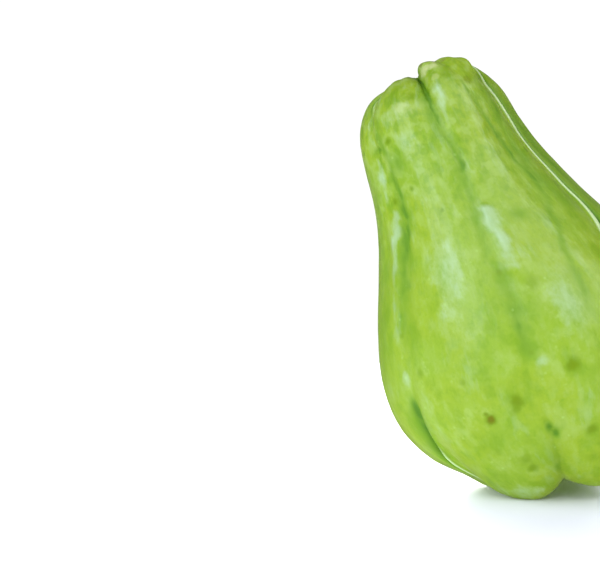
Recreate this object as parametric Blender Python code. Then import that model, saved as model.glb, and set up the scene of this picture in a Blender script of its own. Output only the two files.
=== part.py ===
"""A chayote squash, whole and uncut, standing on the lobes of its blossom end.

The fruit grew as one piece, so it is one closed solid. It is a loft of flattened rings along a
slightly bent axis. Five furrows run from the stem end to the blossom end and part the skin into
lobes, and a shallower valley runs down the lobe at the front right. Three of the lobes reach the
ground, and the skin is pressed flat where it rests.

Lengths are in millimetres and angles in degrees, until the mesh is made in metres. An angle round
the fruit is 0 at the front, towards -Y, and grows towards the right, towards +X. A place along the
fruit is 0 at the blossom end, underneath, and 1 at the stem end, on top.
"""

from collections import namedtuple

import bmesh
import bpy
import numpy as np

METRES_PER_MM = 0.001

# ---------------------------------------------------------------- driving dimensions

LEAN = 16.0              # the fruit stands leaning this far to the left
LEAN_HEIGHT = 47.0       # height on the axis that the lean turns about
NECK_SHIFT = 11.5        # the neck bends this far sideways off the belly's axis
NECK_TILT = 7.0          # rings of the neck tip down to the left by this angle
BASE_TILT = 6.0          # rings of the base tip the other way, which levels the base
BELLY_DEPTH = 0.86       # depth of the belly over its width
NECK_EXTRA_DEPTH = 0.10  # the neck is rounder by this
BASE_EXTRA_DEPTH = 0.08  # and the base by this
FOOT_PRESS = 0.7         # how much skin is pressed flat at each foot

# The half outline before it is furrowed, from the blossom end to the stem end: height and half
# width. It is the control line of a smooth curve, so its corners are rounded off.
OUTLINE = (
    # the puckered hollow of the blossom end
    (8.5, 0.0), (8.0, 4.5), (4.5, 10.5), (0.8, 17.0),
    # the round of the base
    (0.0, 24.5), (5.2, 32.5), (13.5, 39.9), (24.0, 45.0),
    # the belly
    (35.5, 47.6), (47.5, 47.4), (59.0, 44.7), (70.5, 39.9),
    # the neck
    (81.5, 34.3), (92.5, 29.6), (103.0, 26.5), (113.0, 24.8),
    # the shoulder and the dimple of the stem scar
    (122.5, 23.3), (130.5, 19.6), (134.5, 13.0), (133.0, 6.0), (130.0, 0.0),
)

# A furrow wanders a little on its way up. Its angles are at the blossom end, low on the belly,
# high on the belly and at the stem end. Its depths, as shares of the half width, are at the
# blossom end, on the belly and at the stem end.
Furrow = namedtuple("Furrow", "angles depths width rounding")
FURROWS = {
    "front": Furrow((-9, -4, 3, 1), (0.27, 0.035, 0.17), 13, 2),
    "front_left": Furrow((-67, -59, -58, -64), (0.22, 0.040, 0.13), 13, 2),
    "right": Furrow((52, 54, 66, 76), (0.20, 0.050, 0.15), 12, 2),
    "back_right": Furrow((125, 122, 125, 128), (0.20, 0.045, 0.15), 13, 2),
    "back_left": Furrow((-132, -125, -125, -125), (0.20, 0.045, 0.13), 13, 2),
    "front_right_valley": Furrow((26, 26, 39, 33), (0.02, 0.020, 0.05), 9, 4),
}
FURROW_RISE = 25.0       # mm that a furrow lifts the skin at the base, per unit of its depth
FURROW_SINK = 23.0       # mm that a furrow lowers the skin at the shoulder, per unit of its depth

# A lobe lies between two furrows. Its foot reaches down and its shoulder up, in millimetres.
Lobe = namedtuple("Lobe", "centre breadth foot shoulder")
LOBES = {
    "front_left": Lobe(-33, 24, 3.9, 0.8),
    "front_right": Lobe(24, 24, 2.6, 2.8),
    "right": Lobe(90, 30, 2.4, -1.5),
    "back": Lobe(172, 40, 5.6, -3.5),
    "left": Lobe(-108, 28, 1.6, -2.5),
}

# Where along the fruit one part passes into the next.
BASE_TO_LOW_BELLY = (0.10, 0.34)
LOW_TO_HIGH_BELLY = (0.48, 0.70)
HIGH_BELLY_TO_TOP = (0.70, 0.90)
DEEP_BASE_FURROWS_END = (0.18, 0.40)
DEEP_TOP_FURROWS_START = (0.62, 0.86)
FURROWS_END_AT_SCAR = (0.93, 0.98)
ROUND_BASE_ENDS = (0.18, 0.30)
ROUND_NECK_STARTS = (0.50, 0.72)
BASE_TILT_ENDS = (0.22, 0.45)
NECK_TILT_STARTS = (0.50, 0.90)
NECK_SHIFT_HEIGHTS = (48.0, 132.0)

# Where along the fruit something swells up and where it fades away again.
FEET = ((0.06, 0.22), (0.22, 0.42))
SHOULDERS = ((0.72, 0.84), (0.90, 1.0))
FURROWS_LIFT_BASE = ((0.0, 0.08), (0.12, 0.30))
FURROWS_SINK_RIM = ((0.78, 0.90), (0.91, 0.98))

SEGMENTS = 80            # facets round the fruit
ROWS = 50                # facets along the fruit

SKIN_COLOUR = (0.35, 0.56, 0.07, 1.0)
SKIN_ROUGHNESS = 0.4


# ---------------------------------------------------------------- the rule of the shape

def ramp(low, high, value):
    """A smooth step from 0 at low to 1 at high."""
    share = np.clip((value - low) / (high - low), 0.0, 1.0)
    return share * share * (3.0 - 2.0 * share)


def swell(span, value):
    """A smooth hump: it rises over the first part of the span and falls over the second."""
    rise, fall = span
    return ramp(*rise, value) * (1.0 - ramp(*fall, value))


def outline_curve(values, along, mirrored_sign):
    """Cubic B-spline of evenly spaced control values.

    Beyond each pole the line goes on as its own mirror image: a height keeps its sign there,
    and a half width changes it.
    """
    before = mirrored_sign * values[1]
    after = mirrored_sign * values[-2]
    controls = (before, *values, after)
    station = along * (len(values) - 1)
    total = np.zeros_like(along)
    for index, control in enumerate(controls):
        distance = np.abs(station - (index - 1))
        near = np.maximum(1.0 - distance, 0.0) ** 3
        far = np.maximum(2.0 - distance, 0.0) ** 3
        total += control * (far - 4.0 * near) / 6.0
    return total


def furrow_angle(furrow, along):
    base, low, high, top = furrow.angles
    angle = base + (low - base) * ramp(*BASE_TO_LOW_BELLY, along)
    angle += (high - low) * ramp(*LOW_TO_HIGH_BELLY, along)
    return angle + (top - high) * ramp(*HIGH_BELLY_TO_TOP, along)


def furrow_depth(furrow, along):
    base, middle, top = furrow.depths
    depth = middle + (base - middle) * (1.0 - ramp(*DEEP_BASE_FURROWS_END, along))
    depth += (top - middle) * ramp(*DEEP_TOP_FURROWS_START, along)
    return depth * (1.0 - ramp(*FURROWS_END_AT_SCAR, along))


def angle_between(angle, other):
    return (angle - other + 180.0) % 360.0 - 180.0


def fruit_surface(around, along):
    """Points of the skin, in millimetres, for arrays of angles and places along the fruit."""
    height = outline_curve([point[0] for point in OUTLINE], along, 1.0)
    half_width = outline_curve([point[1] for point in OUTLINE], along, -1.0)
    depth = BELLY_DEPTH + NECK_EXTRA_DEPTH * ramp(*ROUND_NECK_STARTS, along)
    depth += BASE_EXTRA_DEPTH * (1.0 - ramp(*ROUND_BASE_ENDS, along))
    tilt = NECK_TILT * ramp(*NECK_TILT_STARTS, along)
    tilt = np.radians(tilt - BASE_TILT * (1.0 - ramp(*BASE_TILT_ENDS, along)))
    shift = -NECK_SHIFT * ramp(*NECK_SHIFT_HEIGHTS, height)

    fullness = np.ones_like(along)
    for furrow in FURROWS.values():
        away = angle_between(around, furrow_angle(furrow, along))
        rounded = np.sqrt(away ** 2 + furrow.rounding ** 2)
        notch = np.exp((furrow.rounding - rounded) / furrow.width)
        fullness -= furrow_depth(furrow, along) * notch
        rise = FURROW_RISE * furrow.depths[0] * swell(FURROWS_LIFT_BASE, along)
        sink = FURROW_SINK * furrow.depths[-1] * swell(FURROWS_SINK_RIM, along)
        height = height + (rise - sink) * notch

    for lobe in LOBES.values():
        bulge = np.exp(-(angle_between(around, lobe.centre) / lobe.breadth) ** 2)
        reach = lobe.shoulder * swell(SHOULDERS, along) - lobe.foot * swell(FEET, along)
        height = height + reach * bulge

    sideways = half_width * fullness * np.sin(np.radians(around))
    forwards = half_width * fullness * depth * np.cos(np.radians(around))
    x = shift + sideways * np.cos(tilt)
    z = height + sideways * np.sin(tilt) - LEAN_HEIGHT
    lean = np.radians(LEAN)
    return np.stack([
        x * np.cos(lean) - z * np.sin(lean),
        -forwards,
        LEAN_HEIGHT + x * np.sin(lean) + z * np.cos(lean),
    ], axis=-1)


def stand_on_ground(points):
    """Centre the fruit over the origin and press its lowest skin flat at z = 0."""
    low = points.min(axis=0)
    high = points.max(axis=0)
    centre = (low + high) / 2.0
    stood = points - np.array([centre[0], centre[1], low[2] + FOOT_PRESS])
    stood[:, 2] = np.maximum(stood[:, 2], 0.0)
    return stood


# ---------------------------------------------------------------- the solid

def fruit_points():
    """The two poles first, then the rows of skin points from the base to the top."""
    around = np.arange(SEGMENTS) * 360.0 / SEGMENTS
    along = np.arange(1, ROWS) / ROWS
    around_grid, along_grid = np.meshgrid(around, along)
    skin = fruit_surface(around_grid, along_grid).reshape(-1, 3)
    poles = fruit_surface(np.zeros(2), np.array([0.0, 1.0]))
    return stand_on_ground(np.concatenate([poles, skin]))


def skin_vertex(row, segment):
    """Index of a skin point. The two poles take the first two places."""
    return 2 + row * SEGMENTS + segment % SEGMENTS


def fruit_faces():
    """Triangles fan out from each pole, and quads lie between the rows."""
    last_row = ROWS - 2
    faces = []
    for segment in range(SEGMENTS):
        faces.append((0, skin_vertex(0, segment + 1), skin_vertex(0, segment)))
        faces.append((1, skin_vertex(last_row, segment), skin_vertex(last_row, segment + 1)))
    for row in range(last_row):
        for segment in range(SEGMENTS):
            faces.append((
                skin_vertex(row, segment),
                skin_vertex(row, segment + 1),
                skin_vertex(row + 1, segment + 1),
                skin_vertex(row + 1, segment),
            ))
    return faces


def skin_material():
    material = bpy.data.materials.new("green_skin")
    material.use_nodes = True
    shader = material.node_tree.nodes["Principled BSDF"]
    shader.inputs["Base Color"].default_value = SKIN_COLOUR
    shader.inputs["Roughness"].default_value = SKIN_ROUGHNESS
    shader.inputs["Metallic"].default_value = 0.0
    return material


def make_fruit():
    solid = bmesh.new()
    vertices = [solid.verts.new(point) for point in fruit_points() * METRES_PER_MM]
    for corners in fruit_faces():
        solid.faces.new([vertices[corner] for corner in corners])
    bmesh.ops.triangulate(solid, faces=solid.faces)
    bmesh.ops.recalc_face_normals(solid, faces=solid.faces)
    mesh = bpy.data.meshes.new("chayote_fruit")
    solid.to_mesh(mesh)
    solid.free()
    mesh.shade_smooth()
    mesh.materials.append(skin_material())
    fruit = bpy.data.objects.new("chayote_fruit", mesh)
    bpy.context.scene.collection.objects.link(fruit)
    return fruit


for leftover in list(bpy.data.objects):
    bpy.data.objects.remove(leftover)
make_fruit()
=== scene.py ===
# %% [markdown]
# # A chayote squash
#
# This lesson finishes one chayote: a pale green, pear-shaped fruit with deep furrows and a smooth,
# waxy skin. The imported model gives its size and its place. Everything that the eye looks for, such
# as soft lumps, creases, bruises and the corky scar of the stem, is made here.
#
# Lengths below are in millimetres and angles in degrees until the mesh is finished, because a
# fruit is easier to think about that way.

# %% Load the fixed frame
from collections import namedtuple
from math import cos, pi, radians, sin

import bmesh
import bpy
import numpy as np
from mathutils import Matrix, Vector


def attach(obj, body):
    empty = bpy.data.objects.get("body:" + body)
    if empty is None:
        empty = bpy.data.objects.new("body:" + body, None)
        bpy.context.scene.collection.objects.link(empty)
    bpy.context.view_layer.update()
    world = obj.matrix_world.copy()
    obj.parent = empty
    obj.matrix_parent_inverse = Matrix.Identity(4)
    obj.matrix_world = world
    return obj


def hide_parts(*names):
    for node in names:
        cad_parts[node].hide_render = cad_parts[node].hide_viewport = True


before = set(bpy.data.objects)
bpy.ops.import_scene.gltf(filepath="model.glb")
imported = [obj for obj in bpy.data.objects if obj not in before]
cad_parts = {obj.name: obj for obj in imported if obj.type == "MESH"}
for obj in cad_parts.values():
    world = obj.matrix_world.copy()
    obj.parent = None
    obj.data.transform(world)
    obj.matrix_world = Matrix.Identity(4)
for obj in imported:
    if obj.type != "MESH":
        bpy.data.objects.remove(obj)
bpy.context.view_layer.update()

METRES_PER_MM = 0.001
HALF_TURN = 180.0  # degrees

# %% [markdown]
# ## Node trees written as sums
#
# A shape that follows a rule is best made by Geometry Nodes, and a skin by shader nodes. Both are
# trees of small sums. Hundreds of nodes are hard to read on a screen, so the trees are written in
# Python: a `Term` is the output of one node, and adding or multiplying two terms adds the Math
# node that does it. Every other kind of node comes from `Tree.add`.

# %% Terms and trees
def find_socket(sockets, key):
    """A socket by its number, its identifier or its name."""
    if isinstance(key, int):
        return sockets[key]
    by_identifier = [socket for socket in sockets if socket.identifier == key]
    return by_identifier[0] if by_identifier else sockets[key]


def maths(operation, *operands):
    """One Math node. At least one of the operands is a Term."""
    tree = next(operand.tree for operand in operands if isinstance(operand, Term))
    return tree.add("ShaderNodeMath", {"operation": operation}, dict(enumerate(operands)))


class Term:
    """The output of a node, which can stand in a Python sum."""

    def __init__(self, tree, socket):
        self.tree = tree
        self.socket = socket

    def other(self, key):
        """Another output of the same node."""
        return Term(self.tree, find_socket(self.socket.node.outputs, key))

    def __add__(self, other):
        return maths("ADD", self, other)

    def __radd__(self, other):
        return maths("ADD", other, self)

    def __sub__(self, other):
        return maths("SUBTRACT", self, other)

    def __rsub__(self, other):
        return maths("SUBTRACT", other, self)

    def __mul__(self, other):
        return maths("MULTIPLY", self, other)

    def __rmul__(self, other):
        return maths("MULTIPLY", other, self)

    def __truediv__(self, other):
        return maths("DIVIDE", self, other)

    def __pow__(self, other):
        return maths("POWER", self, other)

    def __neg__(self):
        return maths("MULTIPLY", self, -1.0)


class Tree:
    """Adds nodes to one node tree."""

    def __init__(self, node_tree):
        self.node_tree = node_tree

    def add(self, kind, settings=None, inputs=None, output=0):
        """Make a node, set it up, fill or link its inputs, and return one of its outputs."""
        node = self.node_tree.nodes.new(kind)
        for name, value in (settings or {}).items():
            setattr(node, name, value)
        for key, value in (inputs or {}).items():
            socket = find_socket(node.inputs, key)
            if isinstance(value, Term):
                self.node_tree.links.new(value.socket, socket)
            else:
                socket.default_value = value
        if not node.outputs:
            return None
        return Term(self, find_socket(node.outputs, output))


print("Term and Tree turn a sum into nodes")

# %% Curves that both kinds of tree need
def ramp(low, high, value):
    """A smooth step from 0 at low to 1 at high."""
    return value.tree.add(
        "ShaderNodeMapRange",
        {"interpolation_type": "SMOOTHSTEP"},
        {"Value": value, "From Min": low, "From Max": high},
    )


def swell(span, value):
    """A smooth hump: it rises over the first part of the span and falls over the second."""
    rise, fall = span
    return ramp(*rise, value) * (1.0 - ramp(*fall, value))


def hump(offset, reach):
    """A bell that is 1 where the offset is 0 and has nearly gone at twice the reach."""
    share = offset / reach
    return maths("EXPONENT", -(share * share))


def angle_between(angle, other):
    """The turn from one angle to another, between -180 and 180 degrees."""
    return maths("WRAP", angle - other, HALF_TURN, -HALF_TURN)


def combine(tree, x, y, z):
    """One vector from three numbers."""
    return tree.add("ShaderNodeCombineXYZ", None, {0: x, 1: y, 2: z})


def separate(vector):
    """The three numbers of one vector."""
    x = vector.tree.add("ShaderNodeSeparateXYZ", None, {0: vector})
    return x, x.other(1), x.other(2)


print("ramp, swell and hump are the curves that shapes and masks are made of")

# %% [markdown]
# ## The sizes of the fruit
#
# The fruit is a loft of flattened rings along a slightly bent axis, and it leans to the left. Each
# place on its skin has two numbers. `around` is an angle, 0 at the front and growing to the right.
# `along` runs from 0 at the blossom end, underneath, to 1 at the stem end, on top.
#
# The sizes are named inputs of the node tree, so that another chayote is one change away. All but
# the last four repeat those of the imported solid, because the skin has to lie on it.

# %% Sizes of the form
SIZES = {
    "Lean": 16.0,              # the fruit stands leaning this far to the left
    "Lean Height": 47.0,       # height on the axis that the lean turns about
    "Neck Shift": 11.5,        # the neck bends this far sideways off the belly's axis
    "Neck Tilt": 7.0,          # rings of the neck tip down to the left
    "Base Tilt": 6.0,          # rings of the base tip the other way
    "Belly Depth": 0.86,       # depth of the belly over its width
    "Neck Extra Depth": 0.10,  # the neck is rounder by this
    "Base Extra Depth": 0.08,  # and the base by this
    "Foot Press": 0.7,         # skin pressed flat where the fruit rests
    "Furrow Rise": 25.0,       # a furrow lifts the skin of the base, per unit of its depth
    "Furrow Sink": 23.0,       # and lowers the skin of the shoulder
    "Lump Height": 0.55,       # soft lumps all over the flesh
    "Ripple Height": 0.34,     # shallow ripples, longer than they are wide
    "Wrinkle Height": 0.16,    # small unevenness of the skin
    "Gather": 0.5,             # how closely the mesh's lines are drawn together at a furrow
}
COUNTS = {"Segments": 400, "Rings": 240}
FORM_INPUTS = {**COUNTS, **SIZES}
GATHER_REACH = 12.0            # degrees to either side of a furrow

# The half outline before it is furrowed, from the blossom end to the stem end: height and half
# width. It is the control line of a smooth curve, so its corners are rounded off.
OUTLINE = (
    # the puckered hollow of the blossom end
    (8.5, 0.0), (8.0, 4.5), (4.5, 10.5), (0.8, 17.0),
    # the round of the base
    (0.0, 24.5), (5.2, 32.5), (13.5, 39.9), (24.0, 45.0),
    # the belly
    (35.5, 47.6), (47.5, 47.4), (59.0, 44.7), (70.5, 39.9),
    # the neck
    (81.5, 34.3), (92.5, 29.6), (103.0, 26.5), (113.0, 24.8),
    # the shoulder and the dimple of the stem scar
    (122.5, 23.3), (130.5, 19.6), (134.5, 13.0), (133.0, 6.0), (130.0, 0.0),
)
print(len(SIZES), "sizes and a half outline of", len(OUTLINE), "points")

# %% Furrows and lobes
# A furrow wanders a little on its way up. Its angles are at the blossom end, low on the belly,
# high on the belly and at the stem end. Its depths, as shares of the half width, are at the
# blossom end, on the belly and at the stem end.
Furrow = namedtuple("Furrow", "angles depths width rounding")
FURROWS = {
    "front": Furrow((-9, -4, 3, 1), (0.27, 0.035, 0.17), 13, 2),
    "front_left": Furrow((-67, -59, -58, -64), (0.22, 0.040, 0.13), 13, 2),
    "right": Furrow((52, 54, 66, 76), (0.20, 0.050, 0.15), 12, 2),
    "back_right": Furrow((125, 122, 125, 128), (0.20, 0.045, 0.15), 13, 2),
    "back_left": Furrow((-132, -125, -125, -125), (0.20, 0.045, 0.13), 13, 2),
    "front_right_valley": Furrow((26, 26, 39, 33), (0.02, 0.020, 0.05), 9, 4),
}

# A lobe lies between two furrows. Its foot reaches down and its shoulder up.
Lobe = namedtuple("Lobe", "centre breadth foot shoulder")
LOBES = {
    "front_left": Lobe(-33, 24, 3.9, 0.8),
    "front_right": Lobe(24, 24, 2.6, 2.8),
    "right": Lobe(90, 30, 2.4, -1.5),
    "back": Lobe(172, 40, 5.6, -3.5),
    "left": Lobe(-108, 28, 1.6, -2.5),
}
print("Furrows:", ", ".join(FURROWS), "- lobes:", ", ".join(LOBES))

# %% Where the parts of the fruit meet
# Where along the fruit one part passes into the next.
BASE_TO_LOW_BELLY = (0.10, 0.34)
LOW_TO_HIGH_BELLY = (0.48, 0.70)
HIGH_BELLY_TO_TOP = (0.70, 0.90)
DEEP_BASE_FURROWS_END = (0.18, 0.40)
DEEP_TOP_FURROWS_START = (0.62, 0.86)
FURROWS_END_AT_SCAR = (0.93, 0.98)
ROUND_BASE_ENDS = (0.18, 0.30)
ROUND_NECK_STARTS = (0.50, 0.72)
BASE_TILT_ENDS = (0.22, 0.45)
NECK_TILT_STARTS = (0.50, 0.90)
NECK_SHIFT_HEIGHTS = (48.0, 132.0)

# Where along the fruit something swells up and where it fades away again.
FEET = ((0.06, 0.22), (0.22, 0.42))
SHOULDERS = ((0.72, 0.84), (0.90, 1.0))
FURROWS_LIFT_BASE = ((0.0, 0.08), (0.12, 0.30))
FURROWS_SINK_RIM = ((0.78, 0.90), (0.91, 0.98))
print("The smooth belly lies from", DEEP_BASE_FURROWS_END[1], "to", DEEP_TOP_FURROWS_START[0])

# %% [markdown]
# ## The rule of the form
#
# The tree starts from a UV Sphere, because a sphere is closed at its poles and has no seam. Its
# longitude becomes `around` and its latitude `along`. One Set Position node then moves every point
# to its place on the fruit. The outline is a cubic B-spline: each control point adds a smooth bump
# that reaches two stations to either side.

# %% The tree and its inputs
node_tree = bpy.data.node_groups.new("chayote_form", "GeometryNodeTree")
node_tree.interface.new_socket("Geometry", in_out="OUTPUT", socket_type="NodeSocketGeometry")
identifiers = {}
for name, value in FORM_INPUTS.items():
    kind = "NodeSocketInt" if name in COUNTS else "NodeSocketFloat"
    socket = node_tree.interface.new_socket(name, in_out="INPUT", socket_type=kind)
    socket.default_value = value
    identifiers[name] = socket.identifier

form = Tree(node_tree)
group_input = form.add("NodeGroupInput")
size = {name: group_input.other(name) for name in FORM_INPUTS}
print("The tree's inputs are", ", ".join(identifiers))

# %% Nodes that work on the mesh
def store(geometry, name, value, kind="FLOAT"):
    """Keep a field on the mesh as a named attribute."""
    return form.add(
        "GeometryNodeStoreNamedAttribute",
        {"data_type": kind, "domain": "POINT"},
        {"Geometry": geometry, "Name": name, "Value": value},
    )


def read(name):
    """A number that the mesh carries as a named attribute."""
    settings = {"data_type": "FLOAT"}
    return form.add("GeometryNodeInputNamedAttribute", settings, {"Name": name})


def set_position(geometry, position=None, offset=None):
    """Move the points to a position, or by an offset."""
    inputs = {"Geometry": geometry}
    if position is not None:
        inputs["Position"] = position
    if offset is not None:
        inputs["Offset"] = offset
    return form.add("GeometryNodeSetPosition", None, inputs)


print("store, read and set_position work on the mesh as it passes through the tree")

# %% A sphere with two coordinates
sphere = form.add(
    "GeometryNodeMeshUVSphere",
    None,
    {"Segments": size["Segments"], "Rings": size["Rings"], "Radius": 1.0},
)
DEGREES_PER_RADIAN = HALF_TURN / pi
sphere_x, sphere_y, sphere_z = separate(form.add("GeometryNodeInputPosition"))
from_axis = maths("SQRT", sphere_x * sphere_x + sphere_y * sphere_y)
longitude = maths("ARCTAN2", sphere_x, -sphere_y) * DEGREES_PER_RADIAN
for furrow in FURROWS.values():
    off_centre = angle_between(longitude, sum(furrow.angles) / len(furrow.angles))
    longitude = longitude - off_centre * hump(off_centre, GATHER_REACH) * size["Gather"]
mesh = store(sphere, "around", longitude)
mesh = store(mesh, "along", maths("ARCTAN2", from_axis, -sphere_z) * (1.0 / pi))
around = read("around")
along = read("along")
print("The sphere's lines are drawn together at", len(FURROWS), "furrows")

# %% Rules for the outline and the furrows
def outline_curves(points, place):
    """Height and half width of the outline, a cubic B-spline of evenly spaced control points.

    Beyond each pole the line goes on as its own mirror image: a height keeps its sign there,
    and a half width changes it.
    """
    before = (points[1][0], -points[1][1])
    after = (points[-2][0], -points[-2][1])
    station = place * float(len(points) - 1)
    height = 0.0
    half_width = 0.0
    for index, control in enumerate((before, *points, after)):
        distance = maths("ABSOLUTE", station - float(index - 1))
        near = maths("MAXIMUM", 1.0 - distance, 0.0) ** 3.0
        far = maths("MAXIMUM", 2.0 - distance, 0.0) ** 3.0
        bump = (far - near * 4.0) / 6.0
        height = height + bump * control[0]
        half_width = half_width + bump * control[1]
    return height, half_width


def furrow_angle(furrow, place):
    """The angle around at which a furrow lies."""
    base, low, high, top = furrow.angles
    angle = base + ramp(*BASE_TO_LOW_BELLY, place) * (low - base)
    angle = angle + ramp(*LOW_TO_HIGH_BELLY, place) * (high - low)
    return angle + ramp(*HIGH_BELLY_TO_TOP, place) * (top - high)


def furrow_depth(furrow, place):
    """The depth of a furrow, as a share of the half width."""
    base, middle, top = furrow.depths
    depth = middle + (1.0 - ramp(*DEEP_BASE_FURROWS_END, place)) * (base - middle)
    depth = depth + ramp(*DEEP_TOP_FURROWS_START, place) * (top - middle)
    return depth * (1.0 - ramp(*FURROWS_END_AT_SCAR, place))


def radians_of(angle):
    """An angle in degrees as radians, which the sine and cosine nodes take."""
    return maths("RADIANS", angle)


print("The half outline rises to", max(height for height, half_width in OUTLINE), "mm")

# %% Rings, furrows and lobes
height, half_width = outline_curves(OUTLINE, along)
shift = -size["Neck Shift"] * ramp(*NECK_SHIFT_HEIGHTS, height)
base_share = 1.0 - ramp(*ROUND_BASE_ENDS, along)
depth_share = size["Belly Depth"] + size["Neck Extra Depth"] * ramp(*ROUND_NECK_STARTS, along)
depth_share = depth_share + size["Base Extra Depth"] * base_share
neck_tilt = size["Neck Tilt"] * ramp(*NECK_TILT_STARTS, along)
base_tilt = size["Base Tilt"] * (1.0 - ramp(*BASE_TILT_ENDS, along))
tilt = radians_of(neck_tilt - base_tilt)

fullness = 1.0
away = {}
for name, furrow in FURROWS.items():
    away[name] = angle_between(around, furrow_angle(furrow, along))
    rounded = maths("SQRT", away[name] * away[name] + furrow.rounding ** 2)
    notch = maths("EXPONENT", (furrow.rounding - rounded) / furrow.width)
    fullness = fullness - furrow_depth(furrow, along) * notch
    rise = size["Furrow Rise"] * swell(FURROWS_LIFT_BASE, along) * furrow.depths[0]
    sink = size["Furrow Sink"] * swell(FURROWS_SINK_RIM, along) * furrow.depths[-1]
    height = height + (rise - sink) * notch

for lobe in LOBES.values():
    bulge = hump(angle_between(around, lobe.centre), lobe.breadth)
    reach = swell(SHOULDERS, along) * lobe.shoulder - swell(FEET, along) * lobe.foot
    height = height + reach * bulge
print("The rule of the rings takes", len(node_tree.nodes), "nodes")

# %% Place every point of the form
sideways = half_width * fullness * maths("SINE", radians_of(around))
forwards = half_width * fullness * depth_share * maths("COSINE", radians_of(around))
ring_x = shift + sideways * maths("COSINE", tilt)
ring_z = height + sideways * maths("SINE", tilt) - size["Lean Height"]
lean = radians_of(size["Lean"])
lean_cos = maths("COSINE", lean)
lean_sin = maths("SINE", lean)
form_place = combine(
    form,
    ring_x * lean_cos - ring_z * lean_sin,
    -forwards,
    size["Lean Height"] + ring_x * lean_sin + ring_z * lean_cos,
)
mesh = set_position(mesh, position=form_place)
form_box = form.add("GeometryNodeBoundBox", None, {"Geometry": mesh}, output="Min")
form_box_top = form_box.other("Max")
print("With the lean and the place of every point:", len(node_tree.nodes), "nodes")

# %% [markdown]
# ## Relief: what growth does to a smooth form
#
# A real chayote is never as even as a loft. Its flesh swells in soft lumps, long ripples run from
# end to end, and the skin folds into a thin crease at the bottom of each furrow. These are heights
# in millimetres, added up and then laid along the normals of the form. Noise gives what has no
# pattern, with a fixed seed, and short lists give the creases, dents and bands of this one fruit.

# %% Noise that follows the skin
SKIN_RADIUS = 32.0   # turns degrees around into millimetres, for the patterns
SKIN_LENGTH = 190.0  # length of the skin from pole to pole
FINER_SHARE = 0.45   # how strong each finer layer of a noise is beside the one before
around_sin = maths("SINE", radians_of(around))
around_cos = maths("COSINE", radians_of(around))


def skin_vector(stretch=1.0):
    """A place on the skin in millimetres, squeezed along the fruit so that patterns stretch."""
    return combine(
        form,
        around_sin * SKIN_RADIUS,
        around_cos * SKIN_RADIUS,
        along * (SKIN_LENGTH / stretch),
    )


def lumps(seed, wavelength, stretch=1.0, detail=1.0):
    """Noise between about -1 and 1, in lumps about a wavelength wide, in millimetres."""
    noise = form.add(
        "ShaderNodeTexNoise",
        {"noise_dimensions": "4D"},
        {
            "Vector": skin_vector(stretch),
            "W": float(seed),
            "Scale": 1.0 / wavelength,
            "Detail": detail,
            "Roughness": FINER_SHARE,
        },
    )
    return (noise - 0.5) * 2.0


print("The skin is taken to be", SKIN_LENGTH, "mm long from pole to pole")

# %% Lumps, ripples and wrinkles
WIDE_LUMPS = 1.4     # height of the wide lumps over the size "Lump Height"
NARROW_LUMPS = 0.8   # and of the narrow lumps on them
LUMPS_FADE = ((0.02, 0.10), (0.93, 0.98))
relief = lumps(seed=3, wavelength=26.0, stretch=1.5) * size["Lump Height"] * WIDE_LUMPS
narrow = lumps(seed=5, wavelength=12.0, stretch=1.8) * size["Lump Height"] * NARROW_LUMPS
ripples = lumps(seed=8, wavelength=7.0, stretch=2.6, detail=2.0) * size["Ripple Height"]
wrinkles = lumps(seed=13, wavelength=3.2, stretch=1.8, detail=2.0) * size["Wrinkle Height"]
ripples = ripples + wrinkles
relief = (relief + narrow + ripples) * swell(LUMPS_FADE, along)
print("Relief so far: wide and narrow lumps, ripples and wrinkles")

# %% [markdown]
# ## Creases: the skin folded in at the bottom of a furrow
#
# Where two lobes press together the skin folds in, and the lobe on one side often stands over the
# fold as a lip, whose pale edge is a painted highlight. A fold could be cut into the mesh by hand.
# Here it is a narrow groove that follows its furrow's own angle, so that it stays right when the
# furrow is moved. The mesh's lines were drawn together there, which gives the groove enough points.

# %% The creases of this one fruit
# Depths in millimetres at the blossom end, on the belly and at the stem end, where along the fruit
# the part at the stem end starts and is at its full depth, and the half width in degrees. Then the
# lip of skin beside the crease: on its right (1) or its left (-1), how high it stands over the
# depth, and how strong the painted highlight on it is at the base and at the top. Bends move a
# stretch of the crease sideways: where along, over what length, and by how many degrees.
Crease = namedtuple("Crease", "base middle top top_starts width side lip pale bends")
CREASES = {
    "front": Crease(
        0.15, 0.03, 0.7, (0.79, 0.87), 1.3, 1, 0.3, (0.0, 0.0),
        ((0.625, 0.045, -3.0), (0.800, 0.040, 1.0)),
    ),
    "front_left": Crease(
        1.7, 0.05, 0.5, (0.80, 0.88), 1.5, 1, 0.4, (0.65, 0.40),
        ((0.865, 0.035, -8.0), (0.635, 0.050, 7.5), (0.39, 0.030, -1.5), (0.31, 0.050, -7.0)),
    ),
    "right": Crease(
        0.8, 0.7, 1.2, (0.50, 0.62), 1.4, -1, 0.45, (1.0, 1.0),
        ((0.59, 0.055, 7.0), (0.66, 0.030, 2.0), (0.76, 0.060, 6.0), (0.87, 0.045, 18.0)),
    ),
    "back_right": Crease(0.8, 0.5, 1.0, (0.66, 0.80), 1.5, 1, 0.3, (0.3, 0.3), ()),
    "back_left": Crease(0.8, 0.5, 1.0, (0.66, 0.80), 1.5, -1, 0.3, (0.3, 0.3), ()),
    "front_right_valley": Crease(
        0.0, 0.15, 0.0, (0.77, 0.84), 2.4, 1, 0.0, (0.0, 0.0),
        ((0.645, 0.030, 7.0), (0.72, 0.040, 1.5), (0.54, 0.030, -1.0)),
    ),
}
print("Creases:", ", ".join(CREASES))

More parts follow.
